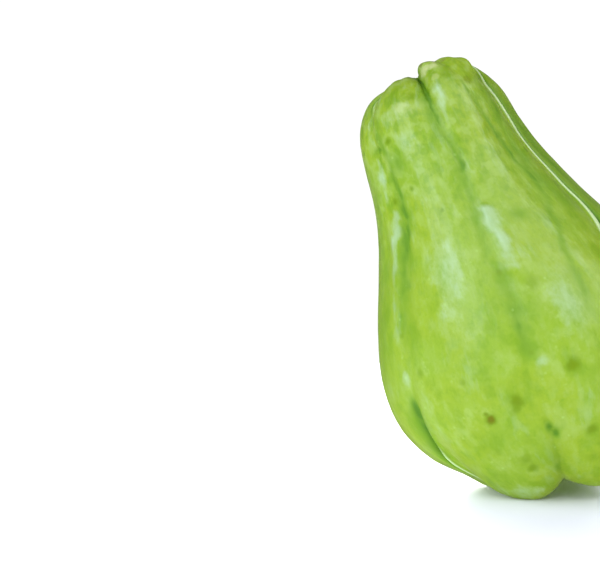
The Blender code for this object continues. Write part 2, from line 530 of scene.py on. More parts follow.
# %% Fold the creases in
CREASE_BASE_ENDS = (0.34, 0.43)
CREASE_FADES = ((0.03, 0.10), (0.93, 0.985))
PALE_BASE_ENDS = (0.31, 0.37)
PALE_LEADS = (0.08, 0.02)  # the painted highlight on a lip comes in this far before its crease starts and is deep
SLOW_WANDER = 0.9          # degrees that a crease strays sideways in long bends
QUICK_WANDER = 0.5         # and in short ones
BELLY_DEPTH_MEAN = 0.8     # on the belly a crease is deep in one place and faint in the next
BELLY_DEPTH_CHANGE = 1.2
BELLY_DEPTH_LEAST = 0.1
BELLY_WIDENING = 1.4       # a crease is wider on the belly by this share of its width
LIP_DISTANCE = 1.8         # from the middle of the crease to its lip, in widths
LIP_WIDTH = 0.9            # the lip's own width, in widths of the crease
CREASE_SHADE_WIDTH = 2.6          # width of the painted shade to either side, partly the furrow's own deeper green, in widths of the crease
CREASE_SHADE_SHARE = 0.45         # how dark that painted shade is beside the crease itself

wander = lumps(seed=21, wavelength=14.0) * SLOW_WANDER
wander = wander + lumps(seed=22, wavelength=5.0) * QUICK_WANDER
uneven = BELLY_DEPTH_MEAN + lumps(seed=34, wavelength=9.0, detail=1.5) * BELLY_DEPTH_CHANGE
uneven = maths("MAXIMUM", uneven, BELLY_DEPTH_LEAST)
pale_base = 1.0 - ramp(*PALE_BASE_ENDS, along)
furrow_shade = 0.0
lip_highlight = 0.0
for name, crease in CREASES.items():
    base_part = 1.0 - ramp(*CREASE_BASE_ENDS, along)
    top_part = ramp(*crease.top_starts, along)
    middle_part = 1.0 - base_part - top_part
    depth = base_part * crease.base + top_part * crease.top
    depth = (depth + middle_part * uneven * crease.middle) * swell(CREASE_FADES, along)
    off = away[name] + wander
    for place, length, turn in crease.bends:
        off = off - hump(along - place, length) * turn
    width = (1.0 + middle_part * BELLY_WIDENING) * crease.width
    groove = hump(off, width)
    lip = hump(off * crease.side - width * LIP_DISTANCE, width * LIP_WIDTH)
    relief = relief + depth * (lip * crease.lip - groove)
    # painted shade along the crease, partly the furrow's own deeper green
    crease_shade_halo = hump(off, width * CREASE_SHADE_WIDTH) * CREASE_SHADE_SHARE
    shade = maths("MAXIMUM", groove, crease_shade_halo) * maths("MINIMUM", depth, 1.0)
    furrow_shade = maths("MAXIMUM", furrow_shade, shade)
    # the painted highlight on the lip
    pale_at_base, pale_at_top = crease.pale
    pale_starts = [start - lead for start, lead in zip(crease.top_starts, PALE_LEADS)]
    lip_highlight_share = pale_base * pale_at_base + ramp(*pale_starts, along) * pale_at_top
    lip_highlight = maths("MAXIMUM", lip_highlight, lip * lip_highlight_share)
print("The tree has grown to", len(node_tree.nodes), "nodes")

# %% [markdown]
# ## Dents, swellings and bands
#
# The rest of what makes this fruit unlike its neighbours has no rule at all: a soft hollow, a
# swollen corner, a green line that climbs the skin. Such things could be sculpted, but then they
# could not be moved or turned down. Here each is a row in a list. A dent is a soft oval at one
# place, and a band follows a line from station to station. Both may press the skin in or raise it,
# and both may leave it greener, partly as painted shade, or paler with a painted highlight.

# %% A group for the reach of one dent
# The same small sum is needed for every dent, so it is a node group, made once.
reach_tree = bpy.data.node_groups.new("dent_reach", "GeometryNodeTree")
reach_tree.interface.new_socket("Reach", in_out="OUTPUT", socket_type="NodeSocketFloat")
REACH_INPUTS = ("Around", "Along", "Dent Around", "Dent Along", "Breadth", "Length")
for name in REACH_INPUTS:
    reach_tree.interface.new_socket(name, in_out="INPUT", socket_type="NodeSocketFloat")
reach_group = Tree(reach_tree)
reach_input = reach_group.add("NodeGroupInput")
given = {name: reach_input.other(name) for name in REACH_INPUTS}
across = hump(angle_between(given["Around"], given["Dent Around"]), given["Breadth"])
lengthwise = hump(given["Along"] - given["Dent Along"], given["Length"])
reach_group.add("NodeGroupOutput", None, {0: across * lengthwise})
print("The group dent_reach has", len(reach_tree.nodes), "nodes and is used for every dent")

# %% The dents and swellings of this one fruit
# Where each one is, how far it reaches around and along, and how deep it goes in millimetres.
# A negative depth is a swelling. The tone is how much greener the skin is there, which is partly
# painted shade, or, where the tone is negative, how strong a painted highlight is.
Dent = namedtuple("Dent", "around along breadth length depth tone")
DENTS = (
    # the front furrow is shallow on the neck, with greener pits below it as far as the base that are
    # partly painted shade, and a small painted highlight
    Dent(1.0, 0.800, 3.5, 0.030, -0.4, 0.0),
    Dent(1.5, 0.740, 3.5, 0.040, -0.6, 0.0),
    Dent(5.0, 0.716, 3.5, 0.014, 0.3, 0.0),
    Dent(-4.2, 0.346, 1.7, 0.008, 0.5, 1.5),
    Dent(-2.4, 0.335, 1.7, 0.008, 0.5, 1.5),
    Dent(-6.0, 0.350, 5.0, 0.030, -0.8, 0.0),
    Dent(-8.0, 0.300, 5.0, 0.030, -1.0, 0.5),
    Dent(-6.5, 0.280, 2.5, 0.014, 0.2, 0.9),
    Dent(-0.5, 0.432, 3.0, 0.009, -0.3, -0.9),
    # the corners of the front right lobe on the shoulder, and two greener spots that are partly
    # painted shade
    Dent(14.0, 0.915, 9.0, 0.035, -1.5, 0.0),
    Dent(46.0, 0.890, 8.0, 0.050, -0.9, 0.0),
    Dent(57.0, 0.864, 6.0, 0.026, -1.9, 0.0),
    Dent(26.0, 0.840, 6.0, 0.025, 0.0, 0.4),
    Dent(20.0, 0.619, 6.0, 0.010, 0.1, 0.7),
    # the broad swelling of the front left lobe, with painted highlights and one greener spot
    Dent(-31.0, 0.600, 14.0, 0.100, -0.8, 0.0),
    Dent(-29.0, 0.690, 7.0, 0.050, 0.0, -0.5),
    Dent(-27.0, 0.570, 8.5, 0.065, 0.0, -0.85),
    Dent(-33.0, 0.520, 6.0, 0.030, 0.0, -0.6),
    Dent(-22.0, 0.488, 5.0, 0.025, 0.0, -0.6),
    Dent(-25.0, 0.828, 18.0, 0.055, -0.3, -0.65),
    Dent(-27.0, 0.765, 11.0, 0.040, 0.0, -0.7),
    Dent(-40.0, 0.810, 6.0, 0.025, 0.0, -0.7),
    Dent(-37.0, 0.740, 6.0, 0.020, 0.2, 0.9),
    # the bank on the left of the front left furrow, with a small painted highlight
    Dent(-72.0, 0.580, 8.0, 0.090, -0.5, 0.0),
    Dent(-66.0, 0.690, 7.0, 0.040, -0.5, 0.0),
    Dent(-60.0, 0.610, 5.0, 0.080, -0.9, 0.0),
    Dent(-61.0, 0.446, 3.5, 0.014, -0.2, -0.7),
    # hollows beside the front left furrow, some of them greener, partly with painted shade
    Dent(-56.0, 0.766, 7.0, 0.006, 0.3, 1.3),
    Dent(-48.5, 0.630, 4.5, 0.060, 0.8, 0.0),
    Dent(-51.5, 0.560, 4.0, 0.040, 0.3, 0.0),
    Dent(-49.0, 0.710, 4.0, 0.030, 0.4, 0.0),
    Dent(-61.0, 0.396, 2.4, 0.020, 0.5, 2.2),
    Dent(-66.0, 0.350, 5.0, 0.035, 0.1, 0.5),
    # the hollow between neck and belly on the right, greener with painted shade, and a painted
    # highlight on the belly below it
    Dent(49.0, 0.700, 8.0, 0.080, 0.6, 0.0),
    Dent(78.0, 0.700, 7.0, 0.120, 0.3, 1.0),
    Dent(17.0, 0.490, 7.0, 0.045, -0.3, -1.0),
    Dent(31.0, 0.545, 3.0, 0.030, -0.3, -0.6),
    # the neck's right side, and the undersides of the front left and left lobes, with a painted
    # highlight that lightens the front left one
    Dent(99.0, 0.780, 14.0, 0.040, -0.8, 0.0),
    Dent(-54.0, 0.245, 10.0, 0.040, -1.0, 0.0),
    Dent(-28.0, 0.245, 20.0, 0.030, 0.0, -0.8),
    Dent(-88.0, 0.255, 18.0, 0.040, 1.6, 0.0),
)
print("Dents and swellings:", len(DENTS))

# %% Press the dents in
dent_shade = 0.0
painted_highlight = 0.0
for dent in DENTS:
    places = (around, along, dent.around, dent.along, dent.breadth, dent.length)
    inputs = dict(zip(REACH_INPUTS, places))
    reach = form.add("GeometryNodeGroup", {"node_tree": reach_tree}, inputs)
    if dent.depth:
        relief = relief - reach * dent.depth
    # a positive tone is greener, partly painted shade; a negative one is a painted highlight
    if dent.tone > 0.0:
        dent_shade = maths("MAXIMUM", dent_shade, reach * dent.tone)
    if dent.tone < 0.0:
        painted_highlight = maths("MAXIMUM", painted_highlight, reach * -dent.tone)
print("The tree has grown to", len(node_tree.nodes), "nodes")

# %% The bands of this one fruit
# Whether a band is greener than the skin, which is partly painted shade, or paler, which is a
# painted highlight, its half width in degrees and its depth in millimetres at strength 1, where a
# negative depth is a ridge. Then its stations, from the lowest to the highest: a place along the
# fruit, and the band's angle and strength there.
Band = namedtuple("Band", "tone breadth depth stations")
Station = namedtuple("Station", "along angle strength")
BANDS = {
    "dark line of the front furrow": Band("green", 3.2, 0.25, (
        (0.430, -4.0, 0.0), (0.446, -3.0, 1.08), (0.470, -4.5, 0.76), (0.500, -4.5, 1.08),
        (0.530, -4.0, 0.65), (0.570, -4.5, 0.5), (0.620, -4.0, 0.8), (0.640, -2.0, 0.9),
        (0.665, 0.0, 0.7), (0.685, 2.0, 0.8), (0.710, 5.0, 1.2), (0.735, 4.0, 0.8),
        (0.760, 2.5, 1.1), (0.800, 2.0, 1.3), (0.850, 2.5, 1.3), (0.900, 1.5, 0.8),
    )),
    "green sides of its top": Band("green", 5.5, 0.0, (
        (0.640, -1.0, 0.0), (0.680, 1.0, 0.6), (0.740, 2.0, 0.5), (0.770, -1.0, 0.9),
        (0.800, -1.0, 0.9), (0.840, 0.0, 0.6), (0.880, 0.0, 0.0),
    )),
    "pale bank beside the front furrow": Band("pale", 5.4, -0.8, (
        (0.530, 1.5, 0.0), (0.560, 2.0, 0.8), (0.580, 3.5, 1.2), (0.610, 4.5, 1.4),
        (0.635, 4.0, 1.3), (0.650, 2.0, 0.5), (0.670, 5.0, 0.3), (0.700, 10.0, 0.5),
        (0.740, 9.0, 0.3), (0.780, 12.0, 0.5), (0.825, 11.0, 0.8), (0.850, 15.0, 0.4),
        (0.870, 16.0, 0.0),
    )),
    "pale strip beside the front left furrow": Band("pale", 4.6, -0.2, (
        (0.470, -61.0, 0.0), (0.500, -61.0, 0.51), (0.550, -61.5, 0.59), (0.580, -62.0, 0.85),
        (0.615, -60.0, 1.02), (0.645, -56.0, 1.1), (0.664, -55.0, 1.1), (0.680, -58.5, 0.77),
        (0.710, -60.0, 1.02), (0.740, -59.0, 0.77), (0.765, -63.0, 0.68), (0.800, -65.0, 0.94),
        (0.830, -64.0, 0.68), (0.860, -69.0, 0.42), (0.890, -70.0, 0.0),
    )),
    "green side of that strip": Band("green", 5.2, 0.1, (
        (0.470, -59.0, 0.0), (0.510, -58.5, 0.69), (0.550, -57.0, 1.03), (0.575, -55.0, 1.15),
        (0.600, -53.0, 1.15), (0.620, -50.0, 1.26), (0.640, -47.0, 1.38), (0.660, -45.0, 1.49),
        (0.680, -45.5, 1.26), (0.720, -46.0, 0.92), (0.750, -43.0, 0.8), (0.770, -51.0, 0.92),
        (0.800, -51.0, 0.92), (0.830, -50.0, 0.0),
    )),
    "green face of the left lobe": Band("green", 8.0, 0.0, (
        (0.420, -78.0, 0.0), (0.500, -76.0, 0.5), (0.600, -74.0, 0.6), (0.700, -75.0, 0.4),
        (0.760, -76.0, 0.0),
    )),
    "edge of the front right lobe": Band("green", 2.2, 0.0, (
        (0.460, 24.0, 0.0), (0.480, 24.5, 0.4), (0.520, 26.0, 0.6), (0.557, 29.0, 0.7),
        (0.597, 35.0, 0.7), (0.634, 43.0, 0.82), (0.660, 44.0, 1.17), (0.690, 41.0, 1.17),
        (0.730, 41.0, 1.17), (0.750, 40.0, 0.94), (0.770, 38.0, 0.82), (0.800, 36.0, 0.59),
        (0.830, 35.0, 0.0),
    )),
    "dark side of the right lobe": Band("green", 6.0, 0.0, (
        (0.540, 86.0, 0.0), (0.600, 84.0, 0.35), (0.680, 83.0, 0.5), (0.750, 84.0, 0.5),
        (0.800, 87.0, 0.4), (0.860, 92.0, 0.3), (0.890, 92.0, 0.0),
    )),
    "green hollow beside that edge": Band("green", 7.0, 0.0, (
        (0.580, 58.0, 0.0), (0.610, 55.0, 0.6), (0.640, 51.0, 0.8), (0.672, 48.0, 1.1),
        (0.700, 50.0, 0.9), (0.725, 53.0, 0.8), (0.762, 54.0, 1.0), (0.785, 52.0, 0.9),
        (0.810, 50.0, 0.5), (0.840, 50.0, 0.0),
    )),
}
print("Bands:", "; ".join(BANDS))

# %% Lay the bands
RAGGED_EDGE = 3.4   # degrees that the edge of a band strays to either side
BROKEN_MEAN = 0.85  # how strong a band is where its noise is halfway
ragged_line = lumps(seed=61, wavelength=3.6, detail=2.5) * RAGGED_EDGE
broken = BROKEN_MEAN + lumps(seed=62, wavelength=4.5, detail=2.0)
for band in BANDS.values():
    stations = [Station(*station) for station in band.stations]
    angle = stations[0].angle
    strength = stations[0].strength
    for station, following in zip(stations, stations[1:]):
        passed = ramp(station.along, following.along, along)
        angle = angle + passed * (following.angle - station.angle)
        strength = strength + passed * (following.strength - station.strength)
    reach = hump(angle_between(around + ragged_line, angle), band.breadth) * strength * broken
    if band.depth:
        relief = relief - reach * band.depth
    # a pale band is a painted highlight; a green one is partly the skin's deeper green and partly
    # painted shade, such as the dark side of the right lobe
    if band.tone == "pale":
        painted_highlight = maths("MAXIMUM", painted_highlight, reach)
    else:
        dent_shade = maths("MAXIMUM", dent_shade, reach)
print("The tree has grown to", len(node_tree.nodes), "nodes")

# %% [markdown]
# ## The two ends
#
# The stem has been picked off, which leaves a small corky scar in a dimple on top. At the blossom
# end the skin gathers in radial pleats round a dry brown point. Both are rules on the same two
# coordinates, so they need no mesh of their own.

# %% Stem scar and blossom end
# Places along the fruit, and how far to either side of them an edge is soft or ragged.
SCAR_EDGE = 0.976
SCAR_SOFT = 0.004
SCAR_RAGGED = 0.003
SCAR_RING_REACH = 0.006
NUB_RISES = (0.990, 0.998)
BLOSSOM_EDGE = 0.016
BLOSSOM_SOFT = 0.005
PLEATS = 10.0
PLEATS_SWELL = ((0.008, 0.02), (0.03, 0.08))
# Heights in millimetres. The scar is sunk, and has a raised ring round it and a nub in its middle.
RING_HEIGHT = 0.5
NUB_HEIGHT = 1.0
SCAR_DEPTH = 0.5
CORK_GRAIN = 0.35
PLEAT_HEIGHT = 0.5
BLOSSOM_HEIGHT = 0.8

ragged_along = along + lumps(seed=55, wavelength=3.0) * SCAR_RAGGED
scar = ramp(SCAR_EDGE - SCAR_SOFT, SCAR_EDGE + SCAR_SOFT, ragged_along)
scar_ring = hump(along - SCAR_EDGE, SCAR_RING_REACH)
scar_nub = ramp(*NUB_RISES, along)
blossom = 1.0 - ramp(BLOSSOM_EDGE - BLOSSOM_SOFT, BLOSSOM_EDGE + BLOSSOM_SOFT, along)
pleat = maths("SINE", radians_of(around) * PLEATS) * swell(PLEATS_SWELL, along)
relief = relief + scar_ring * RING_HEIGHT + scar_nub * NUB_HEIGHT - scar * SCAR_DEPTH
relief = relief + scar * lumps(seed=57, wavelength=1.6, detail=2.0) * CORK_GRAIN
relief = relief + pleat * PLEAT_HEIGHT + blossom * BLOSSOM_HEIGHT
print("The scar and the blossom end are marked at", SCAR_EDGE, "and", BLOSSOM_EDGE)

# %% [markdown]
# ## From a rule to a mesh
#
# Everything worked out so far is still a field, a sum that has a value at every point. The masks
# are stored on the mesh by name, because the skin's material needs them later. Then the points
# move along their normals by the relief, and the fruit is stood on the ground. An object with an
# empty mesh carries the tree as a modifier, and what comes out of it is kept as the plain mesh of
# the fruit.

# %% Store the masks
masks = {
    "furrow": furrow_shade,
    "lip_highlight": lip_highlight,
    "ripple": ripples,
    "dent": dent_shade,
    "painted_highlight": painted_highlight,
    "scar": scar,
    "blossom": blossom,
}
for name, mask in masks.items():
    mesh = store(mesh, name, mask)
mesh = store(mesh, "skin", skin_vector(), kind="FLOAT_VECTOR")
print("The mesh carries the masks", ", ".join(masks))

# %% Lay the relief on the form and stand the fruit on the ground
normal = form.add("GeometryNodeInputNormal")
relief_offset = form.add(
    "ShaderNodeVectorMath", {"operation": "SCALE"}, {"Vector": normal, "Scale": relief}
)
mesh = set_position(mesh, offset=relief_offset)
low_x, low_y, low_z = separate(form_box)
high_x, high_y, _ = separate(form_box_top)
place_x, place_y, place_z = separate(form.add("GeometryNodeInputPosition"))
stood = combine(
    form,
    place_x - (low_x + high_x) / 2.0,
    place_y - (low_y + high_y) / 2.0,
    maths("MAXIMUM", place_z - low_z - size["Foot Press"], 0.0),
)
mesh = set_position(mesh, position=stood)
in_metres = {"Geometry": mesh, "Scale": (METRES_PER_MM,) * 3}
mesh = form.add("GeometryNodeTransform", None, in_metres)
mesh = form.add("GeometryNodeSetShadeSmooth", None, {0: mesh})

skin_material = bpy.data.materials.new("waxy_green_skin")
mesh = form.add("GeometryNodeRealizeInstances", None, {"Geometry": mesh})
mesh = form.add("GeometryNodeSetMaterial", None, {"Geometry": mesh, "Material": skin_material})
form.add("NodeGroupOutput", None, {0: mesh})
print("The form's tree has", len(node_tree.nodes), "nodes")

# %% Turn the tree into a plain mesh
def new_object(name, data):
    """An object in the scene for a mesh, a light or a camera."""
    thing = bpy.data.objects.new(name, data)
    bpy.context.scene.collection.objects.link(thing)
    return thing


seed_object = new_object("chayote_seed", bpy.data.meshes.new("chayote_seed"))
modifier = seed_object.modifiers.new("form", "NODES")
modifier.node_group = node_tree
for name, value in FORM_INPUTS.items():
    modifier[identifiers[name]] = value
evaluated = seed_object.evaluated_get(bpy.context.evaluated_depsgraph_get())
fruit_mesh = bpy.data.meshes.new_from_object(evaluated)
seed_object.modifiers.remove(modifier)
bpy.data.objects.remove(seed_object)

fruit_mesh.name = "chayote_skin"
fruit = new_object("chayote_skin", fruit_mesh)
fruit_mesh.calc_loop_triangles()
print("The skin has", len(fruit_mesh.loop_triangles), "triangles")

# %% [markdown]
# ## Places on the skin
#
# A bruise is a spot of colour at one place. The mesh still carries `around` and `along` for every
# vertex, so the nearest vertex gives that place in metres, and the material can measure how far
# any point of the skin is from it.

# %% Find places on the finished mesh
def vertex_values(name):
    """A named attribute of the fruit, one number for each vertex."""
    values = np.zeros(len(fruit_mesh.vertices), np.float32)
    fruit_mesh.attributes[name].data.foreach_get("value", values)
    return values


around_values = vertex_values("around")
along_values = vertex_values("along")


def skin_point(angle, place):
    """The vertex nearest to an angle around and a place along the fruit, in metres."""
    turn = (around_values - angle + HALF_TURN) % (2.0 * HALF_TURN) - HALF_TURN
    across = np.radians(turn) * SKIN_RADIUS
    climb = (along_values - place) * SKIN_LENGTH
    return fruit_mesh.vertices[int(np.argmin(across ** 2 + climb ** 2))].co.copy()


print("The middle of the stem scar is at", tuple(skin_point(0.0, 1.0)), "m")

# %% [markdown]
# ## The skin
#
# The skin is a smooth, waxy green that is never one colour: paler mottling, lengthwise streaks,
# greener furrows that are partly painted shade, tiny pale pores, a few olive bruises and some
# painted highlights. A painted texture could give that, but it would need unwrapping and would blur
# close up.
# Here each is a layer: a colour, a mask that says where it lies, and a strength. A mask is a ramp
# over a pattern. The patterns are in object coordinates, or in the skin's own coordinates where they
# have to run along the fruit.

# %% Colours of the skin
def linear(red, green, blue):
    """A screen colour, 0 to 255, as the linear colour that a shader works with (sRGB)."""
    def channel(value):
        share = value / 255.0
        if share <= 0.04045:
            return share / 12.92
        return ((share + 0.055) / 1.055) ** 2.4

    return (channel(red), channel(green), channel(blue), 1.0)


SKIN_GREEN = linear(142, 174, 44)
SKIN_PALE = linear(165, 191, 96)
SKIN_YELLOW = linear(150, 175, 30)
SKIN_DEEP = linear(106, 150, 16)
PAINTED_HIGHLIGHT_COLOUR = linear(171, 199, 153)
LIP_HIGHLIGHT_COLOUR = linear(208, 230, 172)
# dark green of the furrows and hollows, partly their own colour and partly painted shade
FURROW_GREEN_AND_SHADE = linear(58, 116, 2)
PORE_PALE = linear(178, 212, 110)
PORE_DARK = linear(108, 158, 34)
BRUISE_OLIVE = linear(112, 146, 0)
BRUISE_BROWN = linear(112, 116, 0)
SCAB_CREAM = linear(206, 212, 148)
SCAB_BROWN = linear(122, 124, 60)
CORK = linear(186, 178, 118)
CORK_DARK = linear(120, 104, 58)
print("The ground colour of the skin is", SKIN_GREEN)

# %% Nodes that colour the skin
skin_material.use_nodes = True
skin_material.node_tree.nodes.clear()
skin = Tree(skin_material.node_tree)
object_place = skin.add("ShaderNodeTexCoord", output="Object")


def attribute(name, output="Fac"):
    """A mask, or a vector, that the mesh carries."""
    return skin.add("ShaderNodeAttribute", {"attribute_name": name}, output=output)


def noise(vector, wavelength, detail=2.0, roughness=0.5):
    """Noise between 0 and 1. Its features are a wavelength long, in the units of the vector."""
    return skin.add(
        "ShaderNodeTexNoise",
        None,
        {"Vector": vector, "Scale": 1.0 / wavelength, "Detail": detail, "Roughness": roughness},
    )


def blend(colour, other, share):
    """Mix another colour in, by a share between 0 and 1."""
    return skin.add(
        "ShaderNodeMix",
        {"data_type": "RGBA", "clamp_factor": True},
        {"Factor_Float": share, "A_Color": colour, "B_Color": other},
        output="Result_Color",
    )


def below(low, high, pattern):
    """A mask that is 1 where a pattern is under low, and 0 where it is over high."""
    return 1.0 - ramp(low, high, pattern)


def layered(colour, layers):
    """Lay layers over a colour, each one a colour, its mask and its strength."""
    for layer_colour, mask, strength in layers:
        colour = blend(colour, layer_colour, mask * strength)
    return colour


print("Each layer of the skin is a colour, a mask and a strength")

# %% Patterns of the skin
# Wavelengths on object coordinates are in metres, and on the skin's own in millimetres.
def squeezed(length_share):
    """The skin's own coordinates, shortened along the fruit so that a pattern is stretched."""
    return skin.add(
        "ShaderNodeVectorMath",
        {"operation": "MULTIPLY"},
        {0: attribute("skin", output="Vector"), 1: (1.0, 1.0, length_share)},
    )


NECK_STARTS = (0.58, 0.74)
broad = noise(object_place, wavelength=0.022, detail=1.0)
blotch = noise(object_place, wavelength=0.0036)
grain = noise(object_place, wavelength=0.0016, roughness=0.6)
mottle = noise(squeezed(0.7), wavelength=5.5, detail=4.0, roughness=0.62)
streak = noise(squeezed(0.36), wavelength=2.6, detail=3.0, roughness=0.6)
ripple = attribute("ripple")
neck = ramp(*NECK_STARTS, attribute("along"))
print("The patterns take", len(skin_material.node_tree.nodes), "nodes")

# %% Mottling and streaks
# Each row is a colour, its mask and its strength. The two numbers of a mask say where in the range
# of its pattern it comes in. The blotches are stronger on the neck than on the belly.
pale_blotches = 0.12 + neck * 0.36
deep_blotches = 0.10 + neck * 0.30
colour = layered(SKIN_GREEN, (
    (SKIN_YELLOW, ramp(0.42, 0.62, broad), 0.55),
    (SKIN_DEEP, below(0.34, 0.50, mottle), 0.38),
    # painted shade: the troughs of the ripples are darker
    (SKIN_DEEP, below(-0.22, -0.02, ripple), 0.34),
    (SKIN_PALE, ramp(0.50, 0.68, mottle), 0.42),
    (SKIN_PALE, ramp(0.52, 0.70, streak), 0.18),
    (SKIN_DEEP, below(0.30, 0.46, streak), 0.16),
    (SKIN_DEEP, below(0.32, 0.46, grain), 0.13),
    (SKIN_PALE, ramp(0.50, 0.66, blotch), pale_blotches),
    (SKIN_DEEP, below(0.34, 0.48, blotch), deep_blotches),
))
print("With mottling and streaks:", len(skin_material.node_tree.nodes), "nodes")

# %% Painted highlights
# Painted highlights lie in patches where the dents and bands say so, and thinly on the crests of
# ripples.
patchy = attribute("painted_highlight") * 0.7 + (mottle - 0.5) * 1.1 + (streak - 0.5) * 0.4
patches = ramp(0.25, 0.9, patchy) * 0.75
crests = ramp(0.0, 0.22, ripple) * ramp(0.44, 0.60, streak) * 0.3
colour = blend(colour, PAINTED_HIGHLIGHT_COLOUR, patches + crests)
print("With bloom:", len(skin_material.node_tree.nodes), "nodes")

# %% Furrows and hollows are greener, partly with painted shade, and the lips beside the creases carry a painted highlight
# The mottling breaks each of the three masks up.
furrow_shade_mask = attribute("furrow") * (0.6 + mottle * 0.8)
dent_shade_mask = attribute("dent") * (0.3 + mottle)
lip_highlight_mask = attribute("lip_highlight") * (0.75 + mottle * 0.6)
colour = layered(colour, (
    (SKIN_DEEP, ramp(0.02, 0.5, furrow_shade_mask), 1.0),
    (FURROW_GREEN_AND_SHADE, ramp(0.35, 0.95, furrow_shade_mask), 0.85),
    (SKIN_DEEP, dent_shade_mask, 1.1),
    (FURROW_GREEN_AND_SHADE, ramp(0.6, 1.5, dent_shade_mask), 0.6),
    (LIP_HIGHLIGHT_COLOUR, ramp(0.22, 0.66, lip_highlight_mask), 0.9),
))
print("With furrows, hollows and lips:", len(skin_material.node_tree.nodes), "nodes")

# %% [markdown]
# ## Spots: pores, bruises and scabs
#
# Pores are everywhere, so they come from a Voronoi texture, which scatters points evenly and tells
# how far the nearest one is. Bruises and scabs are few and belong to this fruit. Each is a row in
# a list, and its mask is the distance from its place with some noise added, so that no edge is
# round. The place is found on the mesh, because the shader only knows metres.

# %% Pores
def pores(spacing, core, edge, shift):
    """Round spots about that many metres apart. Core and edge are in shares of the spacing.

    The shift moves the pattern, so that two kinds of pore do not lie on the same places.
    """
    shifted = skin.add(
        "ShaderNodeVectorMath", {"operation": "ADD"}, {0: object_place, 1: (shift,) * 3}
    )
    distance = skin.add(
        "ShaderNodeTexVoronoi",
        {"feature": "F1"},
        {"Vector": shifted, "Scale": 1.0 / spacing, "Randomness": 1.0},
        output="Distance",
    )
    return below(core, edge, distance)


pale_pores = pores(spacing=0.0032, core=0.06, edge=0.20, shift=0.0)
dark_pores = pores(spacing=0.0052, core=0.05, edge=0.13, shift=0.37)
colour = layered(colour, (
    (PORE_PALE, pale_pores * ramp(0.45, 0.65, mottle), 0.3),
    (PORE_DARK, dark_pores * ramp(0.45, 0.7, broad), 0.25),
))
print("With pores:", len(skin_material.node_tree.nodes), "nodes")

# %% The bruises of this one fruit
# Where each one is, its radius in millimetres, how strong it is and how brown its heart is.
Bruise = namedtuple("Bruise", "around along radius strength brown")
BRUISES = (
    Bruise(-24.5, 0.374, 3.0, 1.0, 1.0),
    Bruise(-25.8, 0.385, 1.4, 0.8, 0.3),
    Bruise(-13.0, 0.391, 3.6, 1.0, 0.15),
    Bruise(-14.5, 0.380, 2.2, 0.8, 0.0),
    Bruise(41.0, 0.815, 2.6, 0.45, 0.3),
    Bruise(10.5, 0.417, 4.2, 1.0, 0.15),
    Bruise(13.5, 0.330, 3.0, 0.9, 0.1),
    Bruise(11.0, 0.286, 3.0, 0.4, 0.0),
    Bruise(7.0, 0.530, 3.4, 0.5, 0.0),
    Bruise(-18.0, 0.290, 2.4, 0.85, 0.0),
    Bruise(-19.0, 0.307, 3.0, 0.7, 0.0),
    Bruise(-27.5, 0.329, 2.0, 0.4, 0.0),
    Bruise(-51.0, 0.451, 2.2, 0.6, 0.0),
    Bruise(-30.5, 0.429, 1.8, 0.6, 0.0),
    Bruise(-60.0, 0.502, 1.4, 0.6, 0.0),
    Bruise(-4.0, 0.554, 1.6, 0.7, 0.0),
    Bruise(-3.0, 0.444, 1.4, 0.5, 0.0),
    Bruise(-41.0, 0.774, 1.9, 1.0, 0.0),
    Bruise(-33.0, 0.697, 1.5, 0.9, 0.0),
    Bruise(-52.5, 0.684, 1.8, 1.0, 0.0),
    Bruise(-19.0, 0.656, 1.0, 0.8, 0.0),
    Bruise(-12.5, 0.836, 2.2, 0.6, 0.0),
    Bruise(23.0, 0.835, 2.6, 0.5, 0.0),
    # the sides and the back have their share too
    Bruise(74.0, 0.440, 3.2, 0.6, 0.2),
    Bruise(101.0, 0.560, 1.6, 0.6, 0.0),
    Bruise(150.0, 0.380, 3.4, 0.6, 0.5),
    Bruise(168.0, 0.520, 1.4, 0.6, 0.0),
    Bruise(-162.0, 0.610, 1.3, 0.7, 0.0),
    Bruise(-146.0, 0.450, 3.0, 0.5, 0.0),
    Bruise(-98.0, 0.500, 1.5, 0.6, 0.0),
    Bruise(-86.0, 0.400, 2.6, 0.5, 0.1),
)
print("Bruises:", len(BRUISES))

# %% Lay the bruises
BRUISE_RAGGED = 0.8  # how much its edge strays, in radii
BRUISE_CORE = 0.1    # where the olive and the brown start to fade, in radii
BRUISE_HEART = 0.6   # where the brown heart ends, in radii
edge_noise = noise(object_place, wavelength=0.0028) - 0.5


def ragged_distance(spot, ragged):
    """How far a point of the skin is from the middle of a spot, in metres."""
    distance = skin.add(
        "ShaderNodeVectorMath",
        {"operation": "DISTANCE"},
        {0: object_place, 1: tuple(skin_point(spot.around, spot.along))},
        output="Value",
    )
    return distance + edge_noise * (spot.radius * METRES_PER_MM * ragged)


for bruise in BRUISES:
    radius = bruise.radius * METRES_PER_MM
    distance = ragged_distance(bruise, BRUISE_RAGGED)
    olive = below(BRUISE_CORE * radius, radius, distance)
    colour = blend(colour, BRUISE_OLIVE, olive * bruise.strength)
    if bruise.brown:
        heart = below(BRUISE_CORE * radius, BRUISE_HEART * radius, distance)
        colour = blend(colour, BRUISE_BROWN, heart * bruise.brown)
print("With bruises:", len(skin_material.node_tree.nodes), "nodes")

